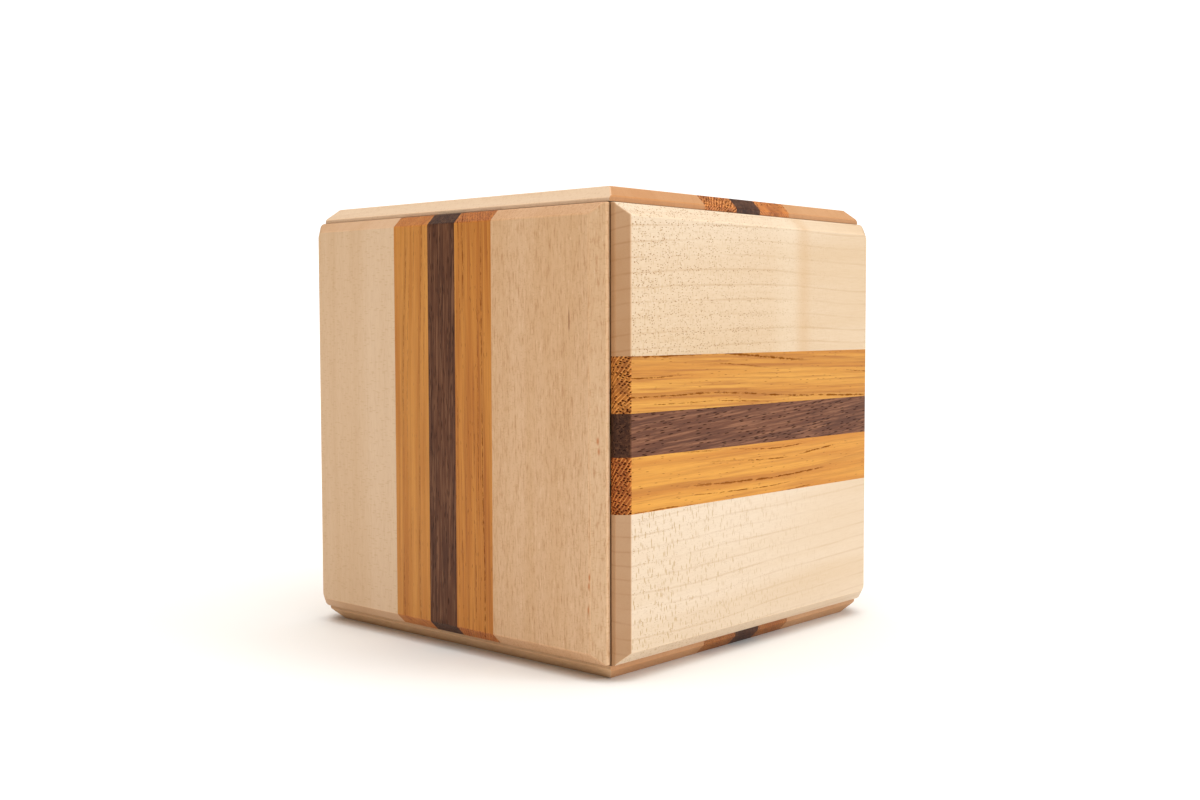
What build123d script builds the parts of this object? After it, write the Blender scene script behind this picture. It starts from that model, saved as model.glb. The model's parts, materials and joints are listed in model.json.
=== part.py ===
from build123d import *

import math
import os

# A wooden puzzle box: a cube of six striped panels round a finger-jointed core.
# Millimetres, +Z up. The origin is the middle of the underside, the front faces -Y and the right side +X.
# Five panels slide along their stripes on dovetail runners; the sixth is glued underneath.
# The lid under the top panel lifts out when the steel pin in each wall is drawn back from its strike.

# ---- The cube and its panels ----
cube = 75.0
panel_thickness = 2.5
panel_reveal = 0.15  # from a panel's edge to the plane of its neighbour's back
long_bevel = 1.9  # on the edges that run with the stripes
end_bevel = 1.7  # on the edges that cut across the stripes
walnut_width = 6.6
teak_width = 8.6

# ---- The core ----
slide_gap = 0.1  # between the core and the back of a sliding panel
wall_thickness = 7.0
finger_pairs = 5  # fingers that each wall has up one corner
base_thickness = 6.0
tongue_thickness = 2.0
tongue_depth = 3.0
tongue_end_gap = 0.1

# ---- Dovetail ways and runners ----
travel = 8.0
way_mouth = 18.0
way_depth = 3.0
way_flank = 14.0  # degrees from square
runner_clearance = 0.15
stop_gap = 0.1  # at each end of a runner's travel
upright_way_margin = 2.0  # wood between an upright way and the height of the lid's seat

# ---- The lid ----
lid_thickness = 6.0
seat_width = 3.5
lid_clearance = 0.2
lid_ease = 0.5  # chamfer that leads the lid into its seat
lid_way_margin = 4.2  # wood past the blind end of the lid's way
cleat_width = 3.0
cleat_tongue_thickness = 1.5
cleat_tongue_depth = 1.5
cleat_tongue_rise = 0.8  # from the lid's underside to the tongue

# ---- The lock: a headed pin in each wall, a strike under the lid, a magnet in the panel ----
pin_radius = 2.0
pin_head_radius = 3.0
pin_head_thickness = 1.0
pin_nose = 0.4
pin_throw = 3.2
pin_bore_clearance = 0.1
pin_end_gap = 0.1
pin_drop = 4.2  # from the lid's seat down to the pin's axis
pin_inset = 7.9  # from the inner corner of the core to the pin's axis
strike_length = 10.0
strike_leg = 2.5
strike_lip = 2.5
strike_fillet = 0.4
strike_clearance = 0.5  # between the lip and the pin over it
strike_leg_clearance = 0.7  # between the leg and the tip of the thrown pin
strike_wall_gap = 0.3
magnet_radius = 2.5
magnet_thickness = 1.5
magnet_clearance = 0.05
magnet_ease = 0.2

# ---- Places that follow ----
panel_back = cube / 2 - panel_thickness
panel_half = panel_back - panel_reveal
core_half = panel_back - slide_gap
core_bottom = panel_thickness
core_top = cube - panel_thickness - slide_gap
core_height = core_top - core_bottom
core_middle = (core_top + core_bottom) / 2
inner_half = core_half - wall_thickness
finger_pitch = core_height / (2 * finger_pairs)
seat_height = core_top - lid_thickness
seat_half = inner_half + seat_width
lid_half = seat_half - lid_clearance
lid_start = cleat_width - lid_half
tongue_bottom = core_bottom + (base_thickness - tongue_thickness) / 2
pin_height = seat_height - pin_drop
pin_offset = inner_half - pin_inset
pin_tip = inner_half + pin_end_gap
pin_end = core_half - pin_end_gap
counterbore_depth = pin_head_thickness + pin_throw + 2 * pin_end_gap
leg_outer = pin_tip - pin_throw - strike_leg_clearance
lip_end = inner_half - strike_wall_gap
lip_top = pin_height - pin_radius - strike_clearance

up = Vector(0, 0, 1)
middle = Vector(0, 0, cube / 2)

# Each side's outward direction, and the direction that its stripes run in and its panel slides in.
sides = {
    "front": (Vector(0, -1, 0), Vector(0, 0, 1)),
    "back": (Vector(0, 1, 0), Vector(0, 0, 1)),
    "left": (Vector(-1, 0, 0), Vector(0, -1, 0)),
    "right": (Vector(1, 0, 0), Vector(0, 1, 0)),
    "top": (Vector(0, 0, 1), Vector(1, 0, 0)),
    "bottom": (Vector(0, 0, -1), Vector(1, 0, 0)),
}
upright_sides = ("front", "back", "left", "right")

# The places of each panel's outer strips, in the order that the strips are laid.
strip_places = {
    "front": ("left", "right"),
    "back": ("right", "left"),
    "left": ("upper", "lower"),
    "right": ("upper", "lower"),
    "top": ("back", "front"),
    "bottom": ("front", "back"),
}


def face_plane(side, distance):
    """The plane of a face, distance out from the middle: x across its stripes, y along them, z outward."""
    outward, along = sides[side]
    return Plane(middle + outward * distance, x_dir=along.cross(outward), z_dir=outward)


def run_plane(side, distance):
    """A section square to the stripes of a face: x across them, y outward, z along them."""
    outward, along = sides[side]
    return Plane(middle + outward * distance, x_dir=outward.cross(along), z_dir=along)


def end_plane(side, distance):
    """A section along the stripes of a face: x along them, y outward, z across them."""
    outward, along = sides[side]
    return Plane(middle + outward * distance, x_dir=along, z_dir=along.cross(outward))


def wall_plane(side):
    """The outer face of a wall: x along the wall, y up from mid-height, z outward."""
    outward = sides[side][0]
    return Plane(up * core_middle + outward * core_half, x_dir=up.cross(outward), z_dir=outward)


def lock_plane(side, height):
    """The upright section through a wall's pin: x outward from the box's axis, y up from height."""
    outward = sides[side][0]
    along_wall = up.cross(outward)
    return Plane(along_wall * pin_offset + up * height, x_dir=outward, z_dir=-along_wall)


def save(piece, label):
    """Labels a finished piece and writes its STEP file."""
    piece.part.label = label
    export_step(piece.part, f"parts/{label}.step")


# ---- Striped panels ----


def bevelled_section(bevel):
    """A panel's section, with its back on the x axis and both outer corners bevelled."""
    Rectangle(2 * panel_half, panel_thickness, align=(Align.CENTER, Align.MIN))
    chamfer(vertices().group_by(Axis.Y)[-1], length=bevel)


def magnet_plane(side):
    """The panel's back, centred where the magnet meets the pin once the panel has slid its travel."""
    outward, along = sides[side]
    pin_place = up.cross(outward) * pin_offset + up * pin_height + outward * panel_back
    return Plane(pin_place - along * travel, x_dir=along.cross(outward), z_dir=outward)


def make_strip(side, label, low, high):
    """One edge-glued strip of a panel, from low to high across it."""
    with BuildPart() as strip:
        with BuildSketch(run_plane(side, panel_back)):
            bevelled_section(long_bevel)
        extrude(amount=panel_half, both=True)
        with BuildSketch(end_plane(side, panel_back)):
            bevelled_section(end_bevel)
        extrude(amount=panel_half, both=True, mode=Mode.INTERSECT)
        with BuildSketch(face_plane(side, panel_back)):
            with Locations(((low + high) / 2, 0)):
                Rectangle(high - low, 2 * panel_half)
        extrude(amount=panel_thickness, mode=Mode.INTERSECT)
        if side in upright_sides:
            with BuildSketch(magnet_plane(side)):
                Circle(magnet_radius + magnet_clearance)
            extrude(amount=magnet_thickness + magnet_clearance, mode=Mode.SUBTRACT)
    save(strip, label)


def make_panel(side):
    """The five strips of a panel: maple, teak, walnut, teak, maple."""
    first, last = strip_places[side]
    walnut_edge = walnut_width / 2
    teak_edge = walnut_edge + teak_width
    make_strip(side, f"{side}_maple_{first}", -panel_half, -teak_edge)
    make_strip(side, f"{side}_teak_{first}", -teak_edge, -walnut_edge)
    make_strip(side, f"{side}_walnut", -walnut_edge, walnut_edge)
    make_strip(side, f"{side}_teak_{last}", walnut_edge, teak_edge)
    make_strip(side, f"{side}_maple_{last}", teak_edge, panel_half)


# ---- Dovetail ways and runners ----


def dovetail_section(mouth, above, below):
    """A dovetail that widens inward, its mouth on the x axis, reaching above and below it."""
    slope = math.tan(math.radians(way_flank))
    Polygon(
        (-mouth / 2 + above * slope, above),
        (mouth / 2 - above * slope, above),
        (mouth / 2 + below * slope, -below),
        (-mouth / 2 - below * slope, -below),
        align=None,
    )


def way_ends(side):
    """Where the way of a sliding panel starts and stops along its slide, from the box's middle."""
    if side in ("left", "right"):
        return -inner_half, inner_half
    if side == "top":
        return lid_start, lid_half - lid_way_margin
    return core_bottom - cube / 2, seat_height - upright_way_margin - cube / 2


def cut_way(side, start, stop):
    """Cuts a panel's way into the wall or lid being built."""
    with BuildSketch(run_plane(side, core_half).offset(start)) as way:
        dovetail_section(way_mouth, slide_gap, way_depth)
    extrude(way.sketch, amount=stop - start, mode=Mode.SUBTRACT)


def make_runner(side):
    """The runner glued behind a panel, short of its way by the travel."""
    start, stop = way_ends(side)
    with BuildPart() as runner:
        with BuildSketch(run_plane(side, core_half).offset(start + stop_gap)):
            dovetail_section(way_mouth - 2 * runner_clearance, slide_gap, way_depth - runner_clearance)
        extrude(amount=stop - start - travel - 2 * stop_gap)
    save(runner, f"{side}_runner")


# ---- Core ----


def make_wall(side):
    """A wall of the core, with its corner fingers, way, pin bore, lid seat and base groove."""
    lies_across = side in ("left", "right")
    notch_shift = -finger_pitch / 2 if lies_across else finger_pitch / 2
    with BuildPart() as wall:
        with BuildSketch(wall_plane(side)):
            Rectangle(2 * core_half, core_height)
            with Locations((0, notch_shift)):
                with GridLocations(2 * core_half - wall_thickness, 2 * finger_pitch, 2, finger_pairs):
                    Rectangle(wall_thickness, finger_pitch, mode=Mode.SUBTRACT)
        extrude(amount=-wall_thickness)
        with BuildSketch(Plane.XY.offset(seat_height)):
            Rectangle(2 * seat_half, 2 * seat_half)
        extrude(amount=lid_thickness, mode=Mode.SUBTRACT)
        with BuildSketch(Plane.XY.offset(tongue_bottom)):
            Rectangle(2 * (inner_half + tongue_depth), 2 * (inner_half + tongue_depth))
        extrude(amount=tongue_thickness, mode=Mode.SUBTRACT)
        if lies_across:
            # The way runs out through the wall's own fingers, and the next walls' fingers stop it.
            cut_way(side, -core_half, core_half)
        else:
            cut_way(side, *way_ends(side))
        with Locations(wall_plane(side)):
            with Locations((pin_offset, pin_height - core_middle)):
                CounterBoreHole(
                    radius=pin_radius + pin_bore_clearance,
                    counter_bore_radius=pin_head_radius + pin_bore_clearance,
                    counter_bore_depth=counterbore_depth,
                    depth=wall_thickness,
                )
    save(wall, f"{side}_wall")


def make_base_board():
    """The floor of the box, tongued into the walls all round."""
    with BuildPart() as base_board:
        with BuildSketch(Plane.XY.offset(core_bottom)):
            Rectangle(2 * inner_half, 2 * inner_half)
        extrude(amount=base_thickness)
        with BuildSketch(Plane.XY.offset(tongue_bottom)):
            tongue_half = inner_half + tongue_depth - tongue_end_gap
            Rectangle(2 * tongue_half, 2 * tongue_half)
        extrude(amount=tongue_thickness)
    save(base_board, "base_board")


# ---- Lid ----


def cleat_tongue_section():
    """The section of the tongue that joins the cleat to the lid."""
    with Locations((0, seat_height + cleat_tongue_rise)):
        Rectangle(2 * lid_half, cleat_tongue_thickness, align=(Align.CENTER, Align.MIN))


def ease_lid_rim():
    """Chamfers the lower outside edges of the lid or its cleat, where they enter the seat."""
    rim = [
        edge
        for edge in edges().group_by(Axis.Z)[0]
        if max(abs(edge.center().X), abs(edge.center().Y)) > lid_half - lid_ease
    ]
    chamfer(rim, length=lid_ease)


def make_lid_board():
    """The lid, with the top panel's way in its upper face."""
    with BuildPart() as lid_board:
        with BuildSketch(Plane.XY.offset(seat_height)):
            with Locations((lid_start, 0)):
                Rectangle(lid_half - lid_start, 2 * lid_half, align=(Align.MIN, Align.CENTER))
        extrude(amount=lid_thickness)
        ease_lid_rim()
        cut_way("top", *way_ends("top"))
        with BuildSketch(Plane.YZ.offset(lid_start)):
            cleat_tongue_section()
        extrude(amount=cleat_tongue_depth + tongue_end_gap, mode=Mode.SUBTRACT)
    save(lid_board, "lid_board")


def make_lid_cleat():
    """The strip across the lid's end that closes the way behind the runner."""
    with BuildPart() as lid_cleat:
        with BuildSketch(Plane.XY.offset(seat_height)):
            with Locations((-lid_half, 0)):
                Rectangle(cleat_width, 2 * lid_half, align=(Align.MIN, Align.CENTER))
        extrude(amount=lid_thickness)
        ease_lid_rim()
        with BuildSketch(Plane.YZ.offset(lid_start)):
            cleat_tongue_section()
        extrude(amount=cleat_tongue_depth)
    save(lid_cleat, "lid_cleat")


# ---- Lock ----


def make_strike(side):
    """A hook under the lid whose lip the thrown pin holds down."""
    with BuildPart() as strike:
        with BuildSketch(lock_plane(side, 0)):
            with BuildLine():
                Polyline(
                    (leg_outer - strike_leg, seat_height),
                    (leg_outer, seat_height),
                    (leg_outer, lip_top),
                    (lip_end, lip_top),
                    (lip_end, lip_top - strike_lip),
                    (leg_outer - strike_leg, lip_top - strike_lip),
                    close=True,
                )
            make_face()
            fillet(vertices().sort_by_distance((leg_outer, lip_top))[0], radius=strike_fillet)
        extrude(amount=strike_length / 2, both=True)
    save(strike, f"{side}_strike")


def make_pin(side):
    """A lock pin, drawn back until its head is just behind the panel."""
    with BuildPart() as pin:
        section = lock_plane(side, pin_height)
        with BuildSketch(section):
            with BuildLine():
                Polyline(
                    (pin_tip, 0),
                    (pin_tip, pin_radius - pin_nose),
                    (pin_tip + pin_nose, pin_radius),
                    (pin_end - pin_head_thickness, pin_radius),
                    (pin_end - pin_head_thickness, pin_head_radius),
                    (pin_end, pin_head_radius),
                    (pin_end, 0),
                    close=True,
                )
            make_face()
        revolve(axis=Axis(section.origin, section.x_dir))
    save(pin, f"{side}_pin")


def make_magnet(side):
    """The magnet let into a panel's back, which draws the pin once the panel has slid over it."""
    with BuildPart() as magnet:
        with BuildSketch(magnet_plane(side)):
            Circle(magnet_radius)
        extrude(amount=magnet_thickness)
        chamfer(edges(), length=magnet_ease)
    save(magnet, f"{side}_magnet")


os.makedirs("parts", exist_ok=True)

for side in sides:
    make_panel(side)
    if side != "bottom":
        make_runner(side)

for side in upright_sides:
    make_wall(side)
    make_strike(side)
    make_pin(side)
    make_magnet(side)

make_base_board()
make_lid_board()
make_lid_cleat()
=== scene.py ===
import json
import math

import bmesh
import bpy
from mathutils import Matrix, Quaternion, Vector
from mathutils.bvhtree import BVHTree


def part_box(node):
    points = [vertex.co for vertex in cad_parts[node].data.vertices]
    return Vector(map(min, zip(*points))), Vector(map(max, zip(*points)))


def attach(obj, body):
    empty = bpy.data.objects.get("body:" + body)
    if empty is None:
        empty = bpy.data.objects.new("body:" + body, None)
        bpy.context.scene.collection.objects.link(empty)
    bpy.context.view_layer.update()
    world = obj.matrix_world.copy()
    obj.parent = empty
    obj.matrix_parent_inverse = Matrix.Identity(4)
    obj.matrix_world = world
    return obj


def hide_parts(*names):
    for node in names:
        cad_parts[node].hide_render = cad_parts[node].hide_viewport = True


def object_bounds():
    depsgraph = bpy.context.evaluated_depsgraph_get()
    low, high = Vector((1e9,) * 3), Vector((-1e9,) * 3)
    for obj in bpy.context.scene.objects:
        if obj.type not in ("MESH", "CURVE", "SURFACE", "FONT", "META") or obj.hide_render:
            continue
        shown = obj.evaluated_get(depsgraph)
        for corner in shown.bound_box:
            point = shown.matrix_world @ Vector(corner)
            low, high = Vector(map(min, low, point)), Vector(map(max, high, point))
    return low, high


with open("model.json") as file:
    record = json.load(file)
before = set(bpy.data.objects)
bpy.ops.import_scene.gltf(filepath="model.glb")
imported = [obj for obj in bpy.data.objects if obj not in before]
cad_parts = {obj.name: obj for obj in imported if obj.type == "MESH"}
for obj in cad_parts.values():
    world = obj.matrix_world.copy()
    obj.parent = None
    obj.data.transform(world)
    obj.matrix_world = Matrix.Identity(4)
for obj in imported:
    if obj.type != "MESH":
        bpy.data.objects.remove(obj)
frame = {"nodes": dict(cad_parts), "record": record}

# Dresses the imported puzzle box: every CAD node gets a piece of the same shape, with softened arrises and a
# wood or metal made of nodes. Metres, in the row frame: +Z up, the front faces -Y, the right side faces +X.

MM = 0.001
cad_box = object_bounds()
cube_low, cube_high = cad_box
middle = (cube_low + cube_high) / 2

X, Y, Z = Vector((1, 0, 0)), Vector((0, 1, 0)), Vector((0, 0, 1))

# Each side's outward direction, and the direction that its stripes and its panel's slide run in.
SIDES = {
    "front": (-Y, Z),
    "back": (Y, Z),
    "left": (-X, -Y),
    "right": (X, Y),
    "top": (Z, X),
    "bottom": (-Z, X),
}

CORE_HALF = (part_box("front_wall")[1].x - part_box("front_wall")[0].x) / 2

# How far the arrises of each kind of piece are rounded over, and in how many steps.
ROUNDING = {
    "panel": 0.2 * MM,
    "core": 0.15 * MM,
    "metal": 0.08 * MM,
}
ARRIS_STEPS = 3
CORNER_STEPS = 5
SAME_POINT = 0.001 * MM
TOUCHING = 0.02 * MM
# Faces that turn by less than FLAT_ANGLE are one face. An edge is sharp from SHARP_ANGLE, shaded as an edge
# from SHADED_ANGLE, and a corner of the panel from CORNER_ANGLE.
FLAT_ANGLE = math.radians(0.5)
SHARP_ANGLE = math.radians(25)
SHADED_ANGLE = math.radians(40)
CORNER_ANGLE = math.radians(60)
# How squarely a face looks in a direction, as a cosine. A bevel leans outwards and sideways by more than
# LEANING, and a side looks sideways by more than SQUARE_ON.
LEANING = 0.3
SQUARE_ON = 0.95
# A face counts as a full end cut a little before it looks straight along the grain.
END_CUT_GAIN = 1.3
# A curl so far away that it doesn't show.
NO_CURL = 900.0


# ---- Node materials ----


class Graph:
    """A material and short ways to add nodes to it. An input is a value or another node's output."""

    def __init__(self, name):
        self.material = bpy.data.materials.new(name)
        self.material.use_nodes = True
        self.tree = self.material.node_tree
        self.shader = self.tree.nodes["Principled BSDF"]

    def feed(self, socket, value):
        if isinstance(value, bpy.types.NodeSocket):
            self.tree.links.new(value, socket)
        else:
            socket.default_value = value

    def add(self, kind, inputs, **settings):
        node = self.tree.nodes.new("ShaderNode" + kind)
        for key, value in settings.items():
            setattr(node, key, value)
        for key, value in inputs.items():
            self.feed(node.inputs[key], value)
        return node

    def math(self, operation, a, b=0.0):
        return self.add("Math", {0: a, 1: b}, operation=operation).outputs[0]

    def attribute(self, name):
        return self.add("Attribute", {}, attribute_name=name)

    def stretch(self, place, x, y, z):
        return self.add("VectorMath", {0: place, 1: (x, y, z)}, operation="MULTIPLY").outputs[0]

    def noise(self, place, detail=2.0, roughness=0.5):
        inputs = {"Vector": place, "Scale": 1.0, "Detail": detail, "Roughness": roughness}
        return self.add("TexNoise", inputs).outputs["Fac"]

    def cells(self, place, randomness=1.0):
        return self.add("TexVoronoi", {"Vector": place, "Scale": 1.0, "Randomness": randomness})

    def scale(self, value, low, high, to_low=0.0, to_high=1.0):
        """Eases a value from one range into another. A range can run downwards."""
        inputs = {"Value": value, "From Min": low, "From Max": high, "To Min": to_low, "To Max": to_high}
        return self.add("MapRange", inputs, interpolation_type="SMOOTHSTEP").outputs["Result"]

    def mix(self, amount, a, b, blend="MIX"):
        node = self.add("Mix", {}, data_type="RGBA", blend_type=blend)
        self.feed(node.inputs["Factor"], amount)
        self.feed(node.inputs[6], a)
        self.feed(node.inputs[7], b)
        return node.outputs[2]

    def finish(self, colour, roughness, height, bump_strength, bump_depth):
        bump = self.add("Bump", {"Height": height, "Strength": bump_strength, "Distance": bump_depth})
        self.feed(self.shader.inputs["Base Color"], colour)
        self.feed(self.shader.inputs["Roughness"], roughness)
        self.feed(self.shader.inputs["Normal"], bump.outputs["Normal"])
        return self.material


def tone(red, green, blue):
    """An sRGB colour, 0 to 255, as linear light."""
    channels = [c / 255 for c in (red, green, blue)]
    return (*[c / 12.92 if c <= 0.04045 else ((c + 0.055) / 1.055) ** 2.4 for c in channels], 1.0)


# The radius in mm at which distances round the log are true.
ARC_RADIUS = 30.0


class Wood(Graph):
    """A wood seen through any cut. The grain attribute is the place in the log in mm: x runs along the grain,
    and the pith is at y = z = 0. The traits attribute holds a board's own strength of lines and of flecks,
    and the distance along the piece from its curl. Rounded arrises are marked by worn, which gets a painted
    highlight, and the other attributes are looks of the Board."""

    def __init__(self, name, ring_width, wander=2.0):
        super().__init__(name)
        self.grain = self.attribute("grain").outputs["Vector"]
        tint = self.attribute("tint").outputs
        self.tint, self.coarse = tint["Color"], tint["Alpha"]
        self.end_cut = self.attribute("end_cut").outputs["Fac"]
        self.arris_highlight = self.attribute("arris_highlight").outputs["Fac"]
        traits = self.add("SeparateXYZ", {0: self.attribute("traits").outputs["Vector"]}).outputs
        self.lines, self.curl = traits["X"], traits["Z"]
        self.flecks = self.math("MAXIMUM", traits["Y"], 0.0)
        self.ticks = self.math("MAXIMUM", self.attribute("ticks").outputs["Fac"], 0.0)
        self.seam = self.attribute("seam").outputs["Fac"]
        parts = self.add("SeparateXYZ", {0: self.grain}).outputs
        across = self.add("CombineXYZ", {"Y": parts["Y"], "Z": parts["Z"]}).outputs[0]
        reach = self.add("VectorMath", {0: across}, operation="LENGTH").outputs["Value"]
        slow = self.noise(self.stretch(self.grain, 0.018, 0.03, 0.03), detail=1.0)
        quick = self.noise(self.stretch(self.grain, 0.07, 0.25, 0.25), detail=2.0)
        slow_shift = self.math("MULTIPLY", slow, wander * 2)
        quick_shift = self.math("MULTIPLY", quick, wander * 0.25)
        self.radius = self.math("ADD", reach, self.math("ADD", slow_shift, quick_shift))
        self.ring = self.math("FRACT", self.math("DIVIDE", self.radius, ring_width))
        angle = self.math("ARCTAN2", parts["Z"], parts["Y"])
        arc = self.math("MULTIPLY", angle, ARC_RADIUS)
        self.log = self.add("CombineXYZ", {"X": parts["X"], "Y": arc, "Z": self.radius}).outputs[0]

    def streaks(self, along, across, detail=4.0, roughness=0.6):
        return self.noise(self.stretch(self.grain, along, across, across), detail, roughness)

    def pores(self, length, width, size, share):
        """Vessels cut open: long dashes on a face, dots on an end. share is how many of them show."""
        cells = self.cells(self.stretch(self.grain, 1 / length, 1 / width, 1 / width))
        pick = self.add("SeparateColor", {0: cells.outputs["Color"]}).outputs["Red"]
        shown = self.math("LESS_THAN", pick, share)
        hole = self.scale(cells.outputs["Distance"], size, size * 0.5)
        return self.math("MULTIPLY", hole, shown)

    def darken(self, amount, colour, dark, strength):
        return self.mix(self.math("MULTIPLY", amount, strength), colour, dark)

    def ends(self, colour, filter_tone):
        """Darkens the cuts across the grain."""
        return self.mix(self.end_cut, colour, self.mix(1.0, colour, filter_tone, "MULTIPLY"))

    def mark(self, place, size):
        """A single blemish at a place in the log."""
        offset = self.add("VectorMath", {0: self.grain, 1: place}, operation="SUBTRACT").outputs[0]
        shrunk = self.stretch(offset, *[1 / s for s in size])
        away = self.add("VectorMath", {0: shrunk}, operation="LENGTH").outputs["Value"]
        return self.scale(away, 1.0, 0.3)

    def corner(self):
        """1 on the core's upright corners, which get painted shade for the dark gaps between the side panels.
        """
        place = self.add("TexCoord", {}).outputs["Object"]
        away = self.add("VectorMath", {0: place}, operation="ABSOLUTE").outputs[0]
        parts = self.add("SeparateXYZ", {0: away}).outputs
        nearer = self.math("DIVIDE", self.math("MINIMUM", parts["X"], parts["Y"]), CORE_HALF)
        return self.scale(nearer, 0.98, 0.99)

    def tinted(self, colour):
        """The board's tint, with painted highlights on rounded arrises and painted shade on sides in seams.
        """
        tinted = self.mix(1.0, colour, self.tint, "MULTIPLY")
        # Painted highlight: rounded arrises made paler, as if they caught the light.
        tinted = self.mix(self.arris_highlight, tinted, self.mix(1.0, tinted, (1.1, 1.09, 1.08, 1.0), "MULTIPLY"))
        # Painted shade: sides in seams made darker, as in the gaps between panels.
        return self.mix(self.seam, tinted, self.mix(1.0, tinted, tone(118, 66, 34), "MULTIPLY"))

    def gloss(self, level, pits):
        """The shine of the surface, none of it from its pits."""
        self.feed(self.shader.inputs["Specular IOR Level"], self.scale(pits, 0.0, 1.0, level, 0.0))


# Paler sapwood: its place in the log, its half sizes and its strength.
PALE_ZONES = (
    ((-200, 42, 6), (90, 8.5, 30), 0.3),
    ((-20, -4, 42), (45, 7, 20), 0.25),
    ((100, 35, 10), (60, 8, 30), 0.45),
    ((215, -50, 8), (60, 24, 30), 0.28),
)

# Blemishes, by their places in the log.
DARK_STREAK = (17.3, -8.5, 43.25)
ORANGE_MARKS = (
    (-0.8, -3.5, 42.8),
    (-2.4, -3.4, 42.8),
    (-21.4, -4.5, 42.8),
    (-22.7, -4.6, 42.8),
    (-26.3, -4.7, 42.8),
)


def maple():
    """Pale and close-grained: soft bands, fine fibres, faint growth lines, rows of flecks and a curl."""
    wood = Wood("maple_wood", ring_width=2.3)
    bands = wood.streaks(0.012, 0.22, detail=2.0)
    dashes = wood.streaks(0.5, 3.5, detail=4.0, roughness=0.65)
    fibre = wood.streaks(0.35, 7.0, roughness=0.7)
    colour = wood.mix(wood.scale(bands, 0.3, 0.7), tone(230, 200, 166), tone(224, 191, 153))
    for place, size, strength in PALE_ZONES:
        colour = wood.darken(wood.mark(place, size), colour, tone(246, 224, 198), strength)
    dark_dash = wood.math("MULTIPLY", wood.scale(dashes, 0.48, 0.72), wood.coarse)
    pale_dash = wood.math("MULTIPLY", wood.scale(dashes, 0.42, 0.22), wood.coarse)
    colour = wood.darken(dark_dash, colour, tone(198, 152, 110), 0.6)
    colour = wood.darken(pale_dash, colour, tone(248, 226, 198), 0.6)
    colour = wood.mix(wood.scale(fibre, 0.4, 0.75, 0.0, 0.18), colour, tone(204, 164, 120))
    faint = wood.scale(wood.streaks(0.05, 0.3, detail=2.0), 0.36, 0.64, 0.2, 0.75)
    from_line = wood.math("ABSOLUTE", wood.math("SUBTRACT", wood.ring, 0.8))
    line = wood.math("MULTIPLY", wood.scale(from_line, 0.11, 0.0), faint)
    colour = wood.darken(wood.math("MULTIPLY", line, wood.lines), colour, tone(198, 154, 110), 0.8)
    near_line = wood.scale(wood.ring, 0.3, 0.95, 0.45, 1.0)
    on_face = wood.math("LESS_THAN", wood.end_cut, 0.1)
    flecked = wood.math("MULTIPLY", wood.math("MULTIPLY", near_line, wood.flecks), on_face)
    pores = wood.math("MULTIPLY", wood.pores(0.55, 0.26, 0.32, 0.8), flecked)
    colour = wood.darken(pores, colour, tone(170, 124, 80), 0.6)
    # Painted shade and highlight: darker and paler patches round the flecks, an emboss drawn in colour.
    rough = wood.streaks(1.5, 2.4, detail=2.0)
    emboss_shade = wood.math("MULTIPLY", wood.scale(rough, 0.54, 0.74), flecked)
    emboss_highlight = wood.math("MULTIPLY", wood.scale(rough, 0.46, 0.26), flecked)
    colour = wood.darken(emboss_shade, colour, tone(206, 166, 122), 0.1)
    colour = wood.darken(emboss_highlight, colour, tone(252, 238, 218), 0.08)
    ray = wood.cells(wood.stretch(wood.log, 1 / 0.4, 1 / 0.5, 1 / 1.9)).outputs["Distance"]
    ray = wood.math("MULTIPLY", wood.scale(ray, 0.36, 0.16), wood.math("MULTIPLY", wood.ticks, on_face))
    colour = wood.darken(ray, colour, tone(196, 154, 102), 0.8)
    colour = wood.darken(wood.mark(DARK_STREAK, (2.4, 0.2, 1.5)), colour, tone(150, 92, 52), 0.75)
    for place in ORANGE_MARKS:
        colour = wood.darken(wood.mark(place, (0.9, 0.22, 1.5)), colour, tone(196, 120, 60), 0.8)
    dark_curl = wood.scale(wood.math("ABSOLUTE", wood.curl), 3.2, 0.0)
    bright_curl = wood.scale(wood.math("ABSOLUTE", wood.math("ADD", wood.curl, 4.5)), 6.0, 0.0)
    colour = wood.darken(dark_curl, colour, tone(214, 170, 122), 0.42)
    colour = wood.darken(bright_curl, colour, tone(250, 232, 206), 0.16)
    colour = wood.ends(colour, tone(206, 164, 118))
    relief = wood.math("ADD", wood.math("MULTIPLY", fibre, 0.3), wood.math("MULTIPLY", dashes, wood.coarse))
    height = wood.math("SUBTRACT", relief, wood.math("ADD", pores, ray))
    wood.gloss(0.35, pores)
    return wood.finish(wood.tinted(colour), wood.scale(fibre, 0.2, 0.8, 0.46, 0.58), height, 0.5, 0.08 * MM)


# Teak's pore lines: their place in a growth ring, their half width and how much of them is missing.
PORE_LINES = ((0.12, 0.065, 0.42), (0.36, 0.03, 0.46), (0.6, 0.04, 0.48))
# How far apart the rows of marks in its end grain are, in mm.
END_ROW = 0.43


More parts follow.
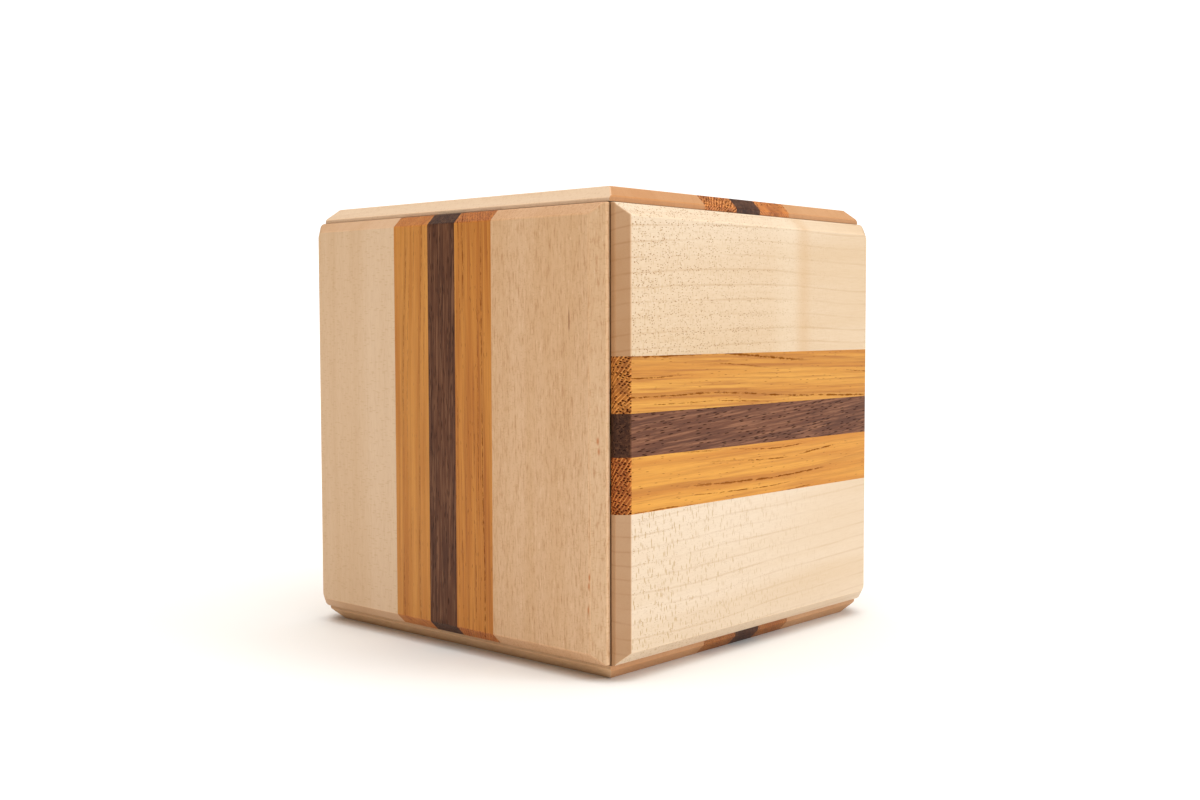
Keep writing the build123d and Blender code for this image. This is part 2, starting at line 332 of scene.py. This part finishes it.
def teak():
    """Golden brown: soft bands, dark broken pore lines along the rings and a coarse, dotted end grain."""
    wood = Wood("teak_wood", ring_width=3.0, wander=1.1)
    bands = wood.streaks(0.02, 0.6, detail=2.0)
    streaks = wood.streaks(0.05, 2.2, detail=3.0)
    fibre = wood.streaks(0.25, 8.0, roughness=0.7)
    colour = wood.mix(wood.scale(bands, 0.3, 0.7), tone(222, 158, 72), tone(202, 132, 52))
    streak = wood.math("MULTIPLY", wood.scale(streaks, 0.42, 0.72), wood.coarse)
    colour = wood.darken(streak, colour, tone(172, 104, 40), 0.75)
    colour = wood.mix(wood.scale(fibre, 0.42, 0.75, 0.0, 0.25), colour, tone(156, 94, 36))
    colour = wood.darken(wood.scale(wood.ring, 0.3, 0.0), colour, tone(166, 98, 32), 0.35)
    lines = 0.0
    ragged = wood.streaks(0.7, 1.6, detail=4.0, roughness=0.7)
    for place, width, gaps in PORE_LINES:
        away = wood.math("ABSOLUTE", wood.math("SUBTRACT", wood.ring, place))
        reach = wood.scale(ragged, 0.38, 0.66, 0.0, width)
        stretches = wood.scale(wood.streaks(0.03, 0.4, detail=2.0), gaps, gaps + 0.12)
        broken = wood.math("MULTIPLY", wood.scale(away, reach, 0.0), stretches)
        lines = wood.math("MAXIMUM", lines, broken)
    small = wood.math("MULTIPLY", wood.pores(1.8, 0.26, 0.26, 0.3), 0.6)
    lines = wood.math("MULTIPLY", wood.math("MAXIMUM", lines, small), wood.lines)
    colour = wood.darken(lines, colour, tone(126, 68, 24), 1.0)
    colour = wood.ends(colour, tone(196, 138, 112))
    on_end = wood.math("MULTIPLY", wood.math("GREATER_THAN", wood.end_cut, 0.2), wood.flecks)
    row = wood.math("FRACT", wood.math("DIVIDE", wood.radius, END_ROW))
    from_row = wood.math("ABSOLUTE", wood.math("SUBTRACT", row, 0.5))
    between = wood.math("MULTIPLY", wood.scale(from_row, 0.22, 0.5), on_end)
    colour = wood.darken(between, colour, tone(240, 160, 92), 0.75)
    dots = wood.cells(wood.stretch(wood.log, 1 / 6.0, 1 / 0.32, 1 / END_ROW), 0.6).outputs["Distance"]
    dots = wood.math("MULTIPLY", wood.scale(dots, 0.42, 0.22), on_end)
    patch = wood.scale(wood.noise(wood.stretch(wood.log, 1 / 8.0, 1 / 1.4, 1 / 1.4)), 0.42, 0.66)
    colour = wood.darken(wood.math("MULTIPLY", patch, on_end), colour, tone(128, 62, 24), 0.5)
    colour = wood.darken(dots, colour, tone(60, 20, 5), 1.0)
    pores = wood.math("MAXIMUM", lines, dots)
    height = wood.math("SUBTRACT", wood.math("MULTIPLY", fibre, 0.4), pores)
    wood.gloss(0.25, pores)
    return wood.finish(wood.tinted(colour), wood.scale(fibre, 0.2, 0.8, 0.42, 0.54), height, 0.45, 0.1 * MM)


def walnut():
    """Dark brown with paler fibres and short near-black pores."""
    wood = Wood("walnut_wood", ring_width=3.4)
    bands = wood.streaks(0.03, 0.6, detail=2.0)
    streaks = wood.streaks(0.09, 2.4, detail=3.0, roughness=0.65)
    fibre = wood.streaks(0.25, 7.0, roughness=0.75)
    colour = wood.mix(wood.scale(bands, 0.3, 0.7), tone(103, 60, 38), tone(84, 46, 28))
    colour = wood.mix(wood.scale(streaks, 0.44, 0.68, 0.0, 0.85), colour, tone(142, 96, 70))
    colour = wood.mix(wood.scale(fibre, 0.45, 0.75, 0.0, 0.4), colour, tone(62, 34, 21))
    pores = wood.math("MULTIPLY", wood.pores(2.2, 0.3, 0.38, 0.7), wood.flecks)
    colour = wood.darken(pores, colour, tone(20, 9, 6), 0.9)
    colour = wood.ends(colour, tone(122, 116, 102))
    height = wood.math("SUBTRACT", wood.math("MULTIPLY", fibre, 0.4), pores)
    wood.gloss(0.2, pores)
    return wood.finish(wood.tinted(colour), wood.scale(fibre, 0.2, 0.8, 0.42, 0.54), height, 0.45, 0.1 * MM)


def core_wood():
    """Planed pale softwood, with narrow darker late growth and painted shade on its upright corners."""
    wood = Wood("core_softwood", ring_width=1.5)
    fibre = wood.streaks(0.15, 5.0, roughness=0.7)
    colour = wood.mix(wood.scale(fibre, 0.3, 0.75), tone(232, 208, 170), tone(216, 186, 142))
    late = wood.scale(wood.ring, 0.55, 0.97)
    colour = wood.mix(wood.math("MULTIPLY", late, 0.5), colour, tone(188, 138, 88))
    colour = wood.ends(colour, tone(214, 188, 160))
    # Painted shade: the upright corners, seen in the gaps between the side panels, darkened as if shaded.
    colour = wood.darken(wood.corner(), colour, tone(84, 50, 26), 0.9)
    height = wood.math("ADD", wood.math("MULTIPLY", fibre, 0.5), wood.math("MULTIPLY", late, 0.3))
    wood.shader.inputs["Specular IOR Level"].default_value = 0.25
    return wood.finish(wood.tinted(colour), wood.scale(fibre, 0.2, 0.8, 0.58, 0.72), height, 0.3, 0.06 * MM)


def beech():
    """Waxed pinkish beech with short dark ray flecks."""
    wood = Wood("beech_wood", ring_width=2.6)
    fibre = wood.streaks(0.2, 6.0, roughness=0.7)
    colour = wood.mix(wood.scale(fibre, 0.3, 0.75), tone(214, 170, 130), tone(194, 146, 104))
    rays = wood.cells(wood.stretch(wood.log, 1 / 1.4, 1 / 0.35, 1 / 2.5)).outputs["Distance"]
    fleck = wood.scale(rays, 0.3, 0.14)
    colour = wood.mix(wood.math("MULTIPLY", fleck, 0.6), colour, tone(140, 88, 54))
    colour = wood.mix(wood.scale(wood.ring, 0.75, 0.97, 0.0, 0.4), colour, tone(170, 116, 76))
    colour = wood.ends(colour, tone(206, 180, 160))
    height = wood.math("SUBTRACT", wood.math("MULTIPLY", fibre, 0.4), fleck)
    return wood.finish(wood.tinted(colour), wood.scale(fibre, 0.2, 0.8, 0.34, 0.46), height, 0.25, 0.06 * MM)


def metal(name, pale, dark, roughness, turned):
    """Plated or turned metal: faint turning lines and a mottle of handling marks."""
    graph = Graph(name)
    graph.shader.inputs["Metallic"].default_value = 1.0
    place = graph.attribute("grain").outputs["Vector"]
    lines = graph.noise(graph.stretch(place, turned, 0.6, 0.6), detail=3.0, roughness=0.7)
    marks = graph.noise(graph.stretch(place, 0.7, 0.7, 0.7), detail=4.0, roughness=0.6)
    colour = graph.mix(graph.scale(marks, 0.35, 0.7), pale, dark)
    rough = graph.scale(graph.math("ADD", lines, marks), 0.6, 1.4, roughness * 0.75, roughness * 1.3)
    return graph.finish(colour, rough, lines, 0.2, 0.02 * MM)


MATERIALS = {
    "maple": maple(),
    "teak": teak(),
    "walnut": walnut(),
    "core_wood": core_wood(),
    "runner_beech": beech(),
    "pin_steel": metal("turned_steel", tone(205, 205, 208), tone(176, 176, 180), 0.3, 14.0),
    "magnet_nickel": metal("nickel_plate", tone(224, 222, 214), tone(200, 197, 188), 0.2, 2.0),
}


# ---- Boards: how each piece was cut from its log ----


class Board:
    """How a piece lies in its log, and how it looks.

    pith: the pith's place across and behind the piece, in mm
    slope: the grain's lean, in degrees
    shift: how far along the log the piece was cut, in mm
    tint: its own colour, times the wood's
    lines: the strength of maple's growth lines or of teak's pore lines
    flecks: the strength of maple's flecks, walnut's pores or the marks in teak's end grain
    ticks: the strength of maple's cut rays
    coarse: the strength of maple's dashes or of teak's streaks
    ends: how much its cut ends darken
    bevel: painted shade on its long bevel, a factor on its colour for how the light falls there
    seam: how much painted shade darkens its long sides, as in the shaded gaps between panels
    curl: how far along the piece its curl lies, in mm from the middle
    corners: how far the panel's corners are rounded, in mm

    flecks, ticks and corners are pairs, for the piece's two ends. What is below zero doesn't show.
    """

    def __init__(self, pith, slope, shift, tint, **looks):
        self.pith = pith
        self.slope = slope
        self.shift = shift
        self.tint = tint
        self.lines = looks.get("lines", 0.6)
        self.flecks = looks.get("flecks", (0.5, 0.5))
        self.coarse = looks.get("coarse", 0.6)
        self.ends = looks.get("ends", 0.7)
        self.ticks = looks.get("ticks", (0.3, 0.3))
        self.bevel = looks.get("bevel", 1.0)
        self.seam = looks.get("seam", 0.1)
        self.curl = looks.get("curl", NO_CURL)
        self.corners = looks.get("corners", (0.5, 0.5))


# The boards that the main view shows well. The others follow from their place in the list of nodes.
BOARDS = {
    "front_maple_left": Board(
        (-34, -6), 0.0, -200, (0.926, 0.874, 0.827),
        lines=0.15, flecks=(0.1, 0.1), coarse=0.35, ends=0.4, corners=(0.89, 0.89),
    ),
    "front_maple_right": Board(
        (14, -42), 0.0, 0, (0.926, 0.811, 0.702),
        lines=0.0, flecks=(0.35, 0.35), coarse=1.45, ends=0.3,
        bevel=0.9, seam=0.05, corners=(0.0, 0.0),
    ),
    "front_teak_left": Board(
        (-24, -22), 0.6, 15, (0.91, 0.855, 0.93), flecks=(0.2, 0.2), coarse=0.4, ends=0.45
    ),
    "front_teak_right": Board(
        (24, -22), -0.6, 75, (0.885, 0.776, 0.715), lines=1.0, flecks=(0.4, 0.4), coarse=0.9, ends=0.5
    ),
    "front_walnut": Board((-22, -20), 1.0, 60, (0.865, 0.856, 0.75), flecks=(0.6, 0.6)),
    "right_maple_upper": Board(
        (-46, -10), -1.0, 120, (0.847, 0.86, 0.87),
        lines=0.7, flecks=(3.5, -0.5), ticks=(0.5, 0.0), coarse=0.2, ends=0.8,
        curl=12.5, corners=(0.0, 0.89),
    ),
    "right_maple_lower": Board(
        (40, -8), -2.0, 240, (0.88, 0.925, 0.995),
        flecks=(1.1, -0.3), ticks=(1.1, -0.1), coarse=0.15, ends=0.8, corners=(0.0, 0.89),
    ),
    "right_teak_upper": Board(
        (-17, -28), 0.8, 35, (0.92, 0.92, 0.71), lines=1.0, flecks=(1.0, 1.0), coarse=1.1, ends=0.55
    ),
    "right_teak_lower": Board(
        (-16, -29), -0.8, 150, (0.94, 0.9, 0.62), lines=1.0, flecks=(1.0, 1.0), coarse=0.65, ends=0.95
    ),
    "right_walnut": Board((-20, -22), -4.0, 90, (1.03, 0.94, 0.81), flecks=(0.8, 0.8), ends=0.8),
    "top_maple_front": Board(
        (-34, -12), 0.0, 310, (1.0, 1.02, 1.08),
        lines=0.3, flecks=(0.3, 0.3), coarse=0.3, ends=1.0, corners=(0.89, 0.0),
    ),
    "top_maple_back": Board(
        (34, -12), 0.0, 330, (1.0, 1.0, 1.0),
        lines=0.3, flecks=(0.3, 0.3), coarse=0.3, ends=0.9, corners=(0.5, 0.89),
    ),
    "top_teak_front": Board((-20, -26), 0.0, 430, (0.97, 0.95, 0.9), flecks=(1.0, 1.0)),
    "top_teak_back": Board((20, -26), 0.0, 450, (0.97, 0.95, 0.9), flecks=(1.0, 1.0)),
    "bottom_maple_front": Board(
        (-34, -12), 0.0, 350, (0.86, 0.75, 0.64), lines=0.3, flecks=(0.3, 0.3), corners=(0.89, 0.0)
    ),
    "bottom_maple_back": Board(
        (34, -12), 0.0, 410, (0.86, 0.8, 0.74), lines=0.3, flecks=(0.3, 0.3), corners=(0.5, 0.89)
    ),
    "bottom_teak_front": Board((-24, -22), 0.0, 370, (0.72, 0.78, 0.9), ends=0.75),
    "bottom_teak_back": Board((24, -22), 0.0, 390, (0.72, 0.78, 0.9), ends=0.75),
}


def board_for(node, number):
    """A node's own board, or one made from its number so that no two are alike."""
    if node in BOARDS:
        return BOARDS[node]
    swing = math.sin(number * 2.4)
    side = 1 if number % 2 else -1
    shade = 0.97 + 0.03 * math.cos(number * 1.7)
    return Board(
        pith=(side * (26 + 8 * swing), -18 + 8 * math.cos(number * 3.1)),
        slope=swing,
        shift=53.0 * number,
        tint=(shade, shade * 0.98, shade * 0.96),
    )


def grain_axes(node):
    """The directions of a piece's grain, of its width, and of its outer face."""
    side = node.split("_")[0]
    if node == "base_board":
        return X, -Y, -Z
    if node == "lid_board":
        return X, -Y, Z
    if node == "lid_cleat":
        return Y, X, Z
    outward, along = SIDES[side]
    if node.endswith("_wall") or node.endswith("_strike"):
        along = Z.cross(outward)
    if node.endswith("_pin") or node.endswith("_magnet"):
        return outward, Z.cross(outward), Z
    return along, along.cross(outward), outward


# ---- Pieces ----


def round_over(mesh, edges, amount, steps):
    """Rounds edges and gives the new faces."""
    made = bmesh.ops.bevel(
        mesh,
        geom=edges,
        offset=amount,
        segments=steps,
        profile=0.5,
        affect="EDGES",
        clamp_overlap=True,
    )
    return made["faces"]


def edge_middle(edge):
    return (edge.verts[0].co + edge.verts[1].co) / 2


def touches(spot, trees):
    """True if a spot lies on the surface of one of the neighbours."""
    return any(tree.find_nearest(spot, TOUCHING)[0] is not None for tree in trees)


def whole_faces(node):
    """The CAD node's mesh as a bmesh with joined corners and undivided flat faces."""
    mesh = bmesh.new()
    mesh.from_mesh(frame["nodes"][node].data)
    bmesh.ops.remove_doubles(mesh, verts=mesh.verts, dist=SAME_POINT)
    bmesh.ops.dissolve_limit(mesh, angle_limit=FLAT_ANGLE, verts=mesh.verts, edges=mesh.edges)
    return mesh


def free_arrises(mesh, trees, outward, kind):
    """The sharp edges that no glued neighbour touches. A strip's back stays crisp."""
    back = min(vertex.co.dot(outward) for vertex in mesh.verts)
    chosen = []
    for edge in mesh.edges:
        if len(edge.link_faces) != 2 or edge.calc_face_angle(0.0) < SHARP_ANGLE:
            continue
        if kind == "panel" and all(vertex.co.dot(outward) < back + TOUCHING for vertex in edge.verts):
            continue
        if not touches(edge_middle(edge), trees):
            chosen.append(edge)
    return chosen


def corner_edges(mesh, trees, outward):
    """The edges round a panel's corners, on its bevels and below them: where one side turns into the next."""
    chosen = []
    for edge in mesh.edges:
        sideways = [face.normal - outward * face.normal.dot(outward) for face in edge.link_faces]
        if len(sideways) != 2 or min(side.length for side in sideways) < LEANING:
            continue
        turns = sideways[0].angle(sideways[1]) > CORNER_ANGLE
        if turns and not touches(edge_middle(edge), trees):
            chosen.append(edge)
    return chosen


def round_corners(mesh, trees, node, board):
    """Rounds the panel's corners, each end of the piece by its own amount."""
    along, _, outward = grain_axes(node)
    low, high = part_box(node)
    halfway = ((low + high) / 2).dot(along)
    for end, amount in enumerate(board.corners):
        corners = corner_edges(mesh, trees, outward)
        edges = [e for e in corners if (e.verts[0].co.dot(along) > halfway) == bool(end)]
        if amount and edges:
            round_over(mesh, edges, amount * MM, CORNER_STEPS)
    # The widest rounding uses up a small edge. Left in, it would stop the arrises from being rounded.
    bmesh.ops.remove_doubles(mesh, verts=mesh.verts, dist=SAME_POINT)


def write_grain(mesh, node, number, in_panel):
    """Stores each point's place in the log, how far faces cut across the grain, the tint and painted shade.
    """
    along, across, outward = grain_axes(node)
    board = board_for(node, number)
    low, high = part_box(node)
    centre = (low + high) / 2
    length = abs((high - low).dot(along)) / MM
    lean = math.radians(board.slope)
    for name, kind, domain in (
        ("grain", "FLOAT_VECTOR", "POINT"),
        ("traits", "FLOAT_VECTOR", "POINT"),
        ("ticks", "FLOAT", "POINT"),
        ("tint", "FLOAT_COLOR", "FACE"),
        ("end_cut", "FLOAT", "FACE"),
        ("seam", "FLOAT", "FACE"),
    ):
        mesh.attributes.new(name, kind, domain)
    grain = mesh.attributes["grain"].data
    traits = mesh.attributes["traits"].data
    ticks = mesh.attributes["ticks"].data
    tint = mesh.attributes["tint"].data
    end_cut = mesh.attributes["end_cut"].data
    seam = mesh.attributes["seam"].data
    for index, vertex in enumerate(mesh.vertices):
        place = (vertex.co - centre) / MM
        run, width = place.dot(along), place.dot(across)
        leaned_run = run * math.cos(lean) + width * math.sin(lean)
        leaned_width = width * math.cos(lean) - run * math.sin(lean)
        depth = place.dot(outward)
        spot = (leaned_run + board.shift, leaned_width - board.pith[0], depth - board.pith[1])
        grain[index].vector = spot
        along_piece = run / length + 0.5
        flecks, end_ticks = [a + (b - a) * along_piece for a, b in (board.flecks, board.ticks)]
        traits[index].vector = (board.lines, flecks, run - board.curl)
        ticks[index].value = end_ticks
    for index, face in enumerate(mesh.polygons):
        facing = face.normal.dot(outward)
        sideways = abs(face.normal.dot(across))
        end_cut[index].value = min(1.0, abs(face.normal.dot(along)) * END_CUT_GAIN) * board.ends
        # Painted shade: a long bevel's colour is scaled by the board's bevel, for how the light falls on it.
        long_bevel = LEANING < facing < SQUARE_ON and sideways > LEANING
        shade = board.bevel if long_bevel else 1.0
        tint[index].color = (*[c * shade for c in board.tint], board.coarse)
        # Painted shade goes on the long sides, which face the gaps between panels.
        in_seam = in_panel and sideways > SQUARE_ON
        seam[index].value = board.seam if in_seam else 0.0


def dress(node, body, number, slot, trees):
    """Makes the shown piece for a CAD node, with its free arrises rounded, and lets it stand for the node."""
    kind = "metal" if slot in ("pin_steel", "magnet_nickel") else "core"
    if slot in ("maple", "teak", "walnut"):
        kind = "panel"
    shape = whole_faces(node)
    if kind == "panel":
        round_corners(shape, trees, node, board_for(node, number))
    arrises = free_arrises(shape, trees, grain_axes(node)[2], kind)
    # Painted highlight: the rounded arris faces are marked so that the wood paints them paler.
    arris_highlight = shape.faces.layers.float.new("arris_highlight")
    for face in round_over(shape, arrises, ROUNDING[kind], ARRIS_STEPS):
        face[arris_highlight] = 1.0
    mesh = bpy.data.meshes.new(node + "_dressed")
    shape.to_mesh(mesh)
    shape.free()
    mesh.shade_smooth()
    mesh.set_sharp_from_angle(angle=SHADED_ANGLE)
    write_grain(mesh, node, number, kind == "panel")
    mesh.materials.append(MATERIALS[slot])
    piece = bpy.data.objects.new(node + "_piece", mesh)
    bpy.context.scene.collection.objects.link(piece)
    keep_flat = piece.modifiers.new("keep_flat", "WEIGHTED_NORMAL")
    keep_flat.keep_sharp = True
    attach(piece, body)
    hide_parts(node)


def surface(node):
    """A search tree of a CAD node's surface."""
    mesh = frame["nodes"][node].data
    corners = [v.co for v in mesh.vertices]
    return BVHTree.FromPolygons(corners, [tuple(p.vertices) for p in mesh.polygons])


slots = {part["node"]: part["material_slot"] for part in frame["record"]["subparts"]}
number = 0
for body, members in frame["record"]["behaviour"]["bodies"].items():
    trees = {node: surface(node) for node in members}
    for node in members:
        number += 1
        dress(node, body, number, slots[node], [tree for name, tree in trees.items() if name != node])


# ---- Stage: floor, light and camera ----

FLOOR_HALF = 3.0


def floor_material():
    """Matt white paper with a barely uneven tone."""
    graph = Graph("white_paper")
    place = graph.add("TexCoord", {}).outputs["Object"]
    mottle = graph.noise(graph.stretch(place, 9.0, 9.0, 9.0), detail=3.0)
    colour = graph.mix(mottle, (0.92, 0.915, 0.90, 1.0), (0.89, 0.885, 0.87, 1.0))
    return graph.finish(colour, 0.85, mottle, 0.02, 0.1 * MM)


def make_floor():
    grid = bmesh.new()
    bmesh.ops.create_grid(grid, x_segments=12, y_segments=12, size=FLOOR_HALF)
    mesh = bpy.data.meshes.new("floor")
    grid.to_mesh(mesh)
    grid.free()
    mesh.materials.append(floor_material())
    floor = bpy.data.objects.new("floor", mesh)
    floor.location.z = cube_low.z
    bpy.context.scene.collection.objects.link(floor)


def make_world():
    """An even pale surround: pure white where the camera sees it, softer as light."""
    world = bpy.data.worlds.new("studio")
    bpy.context.scene.world = world
    world.use_nodes = True
    tree = world.node_tree
    seen = tree.nodes.new("ShaderNodeBackground")
    seen.inputs["Color"].default_value = (1.0, 1.0, 1.0, 1.0)
    seen.inputs["Strength"].default_value = 1.2
    light = tree.nodes["Background"]
    light.inputs["Color"].default_value = (1.0, 0.95, 0.88, 1.0)
    light.inputs["Strength"].default_value = 0.34
    path = tree.nodes.new("ShaderNodeLightPath")
    choose = tree.nodes.new("ShaderNodeMixShader")
    tree.links.new(path.outputs["Is Camera Ray"], choose.inputs["Fac"])
    tree.links.new(light.outputs[0], choose.inputs[1])
    tree.links.new(seen.outputs[0], choose.inputs[2])
    tree.links.new(choose.outputs[0], tree.nodes["World Output"].inputs["Surface"])


def make_light(name, direction, softness, strength, colour):
    """A distant soft light; softness is how wide it looks in degrees."""
    lamp = bpy.data.lights.new(name, "SUN")
    lamp.angle = math.radians(softness)
    lamp.energy = strength
    lamp.color = colour
    holder = bpy.data.objects.new(name, lamp)
    direction = Vector(direction).normalized()
    holder.location = middle + direction
    holder.rotation_mode = "QUATERNION"
    holder.rotation_quaternion = (-direction).to_track_quat("-Z", "Y")
    bpy.context.scene.collection.objects.link(holder)


# The viewpoint, measured from the middle of the box.
VIEW_AZIMUTH = math.radians(42.239)  # round from the front towards the right
VIEW_DISTANCE = 256.85 * MM
VIEW_RISE = 17.0 * MM
VIEW_YAW = math.radians(-0.226)
VIEW_PITCH = math.radians(-3.209)
VIEW_ROLL = math.radians(0.126)
SENSOR = 36.0
LENS = 41.66


def make_camera():
    camera = bpy.data.cameras.new("camera")
    camera.sensor_width = SENSOR
    camera.lens = LENS
    camera.clip_start = 0.01
    camera.clip_end = 20.0
    holder = bpy.data.objects.new("camera", camera)
    bpy.context.scene.collection.objects.link(holder)
    sideways = X * math.sin(VIEW_AZIMUTH) - Y * math.cos(VIEW_AZIMUTH)
    holder.location = middle + sideways * VIEW_DISTANCE + Z * VIEW_RISE
    heading = VIEW_AZIMUTH + VIEW_YAW
    level = Y * math.cos(heading) - X * math.sin(heading)
    look = level * math.cos(VIEW_PITCH) + Z * math.sin(VIEW_PITCH)
    holder.rotation_mode = "QUATERNION"
    aim = look.to_track_quat("-Z", "Y")
    aim.rotate(Quaternion(look, VIEW_ROLL))
    holder.rotation_quaternion = aim
    bpy.context.scene.camera = holder


make_floor()
make_world()
make_light("key", (1.0, 0.55, 0.3), 35, 1.82, (0.86, 0.955, 1.02))
make_light("overhead", (0.0, 0.0, 1.0), 80, 2.96, (1.0, 0.985, 0.965))
make_camera()

settings = bpy.context.scene.view_settings
settings.view_transform = "Standard"
settings.look = "None"
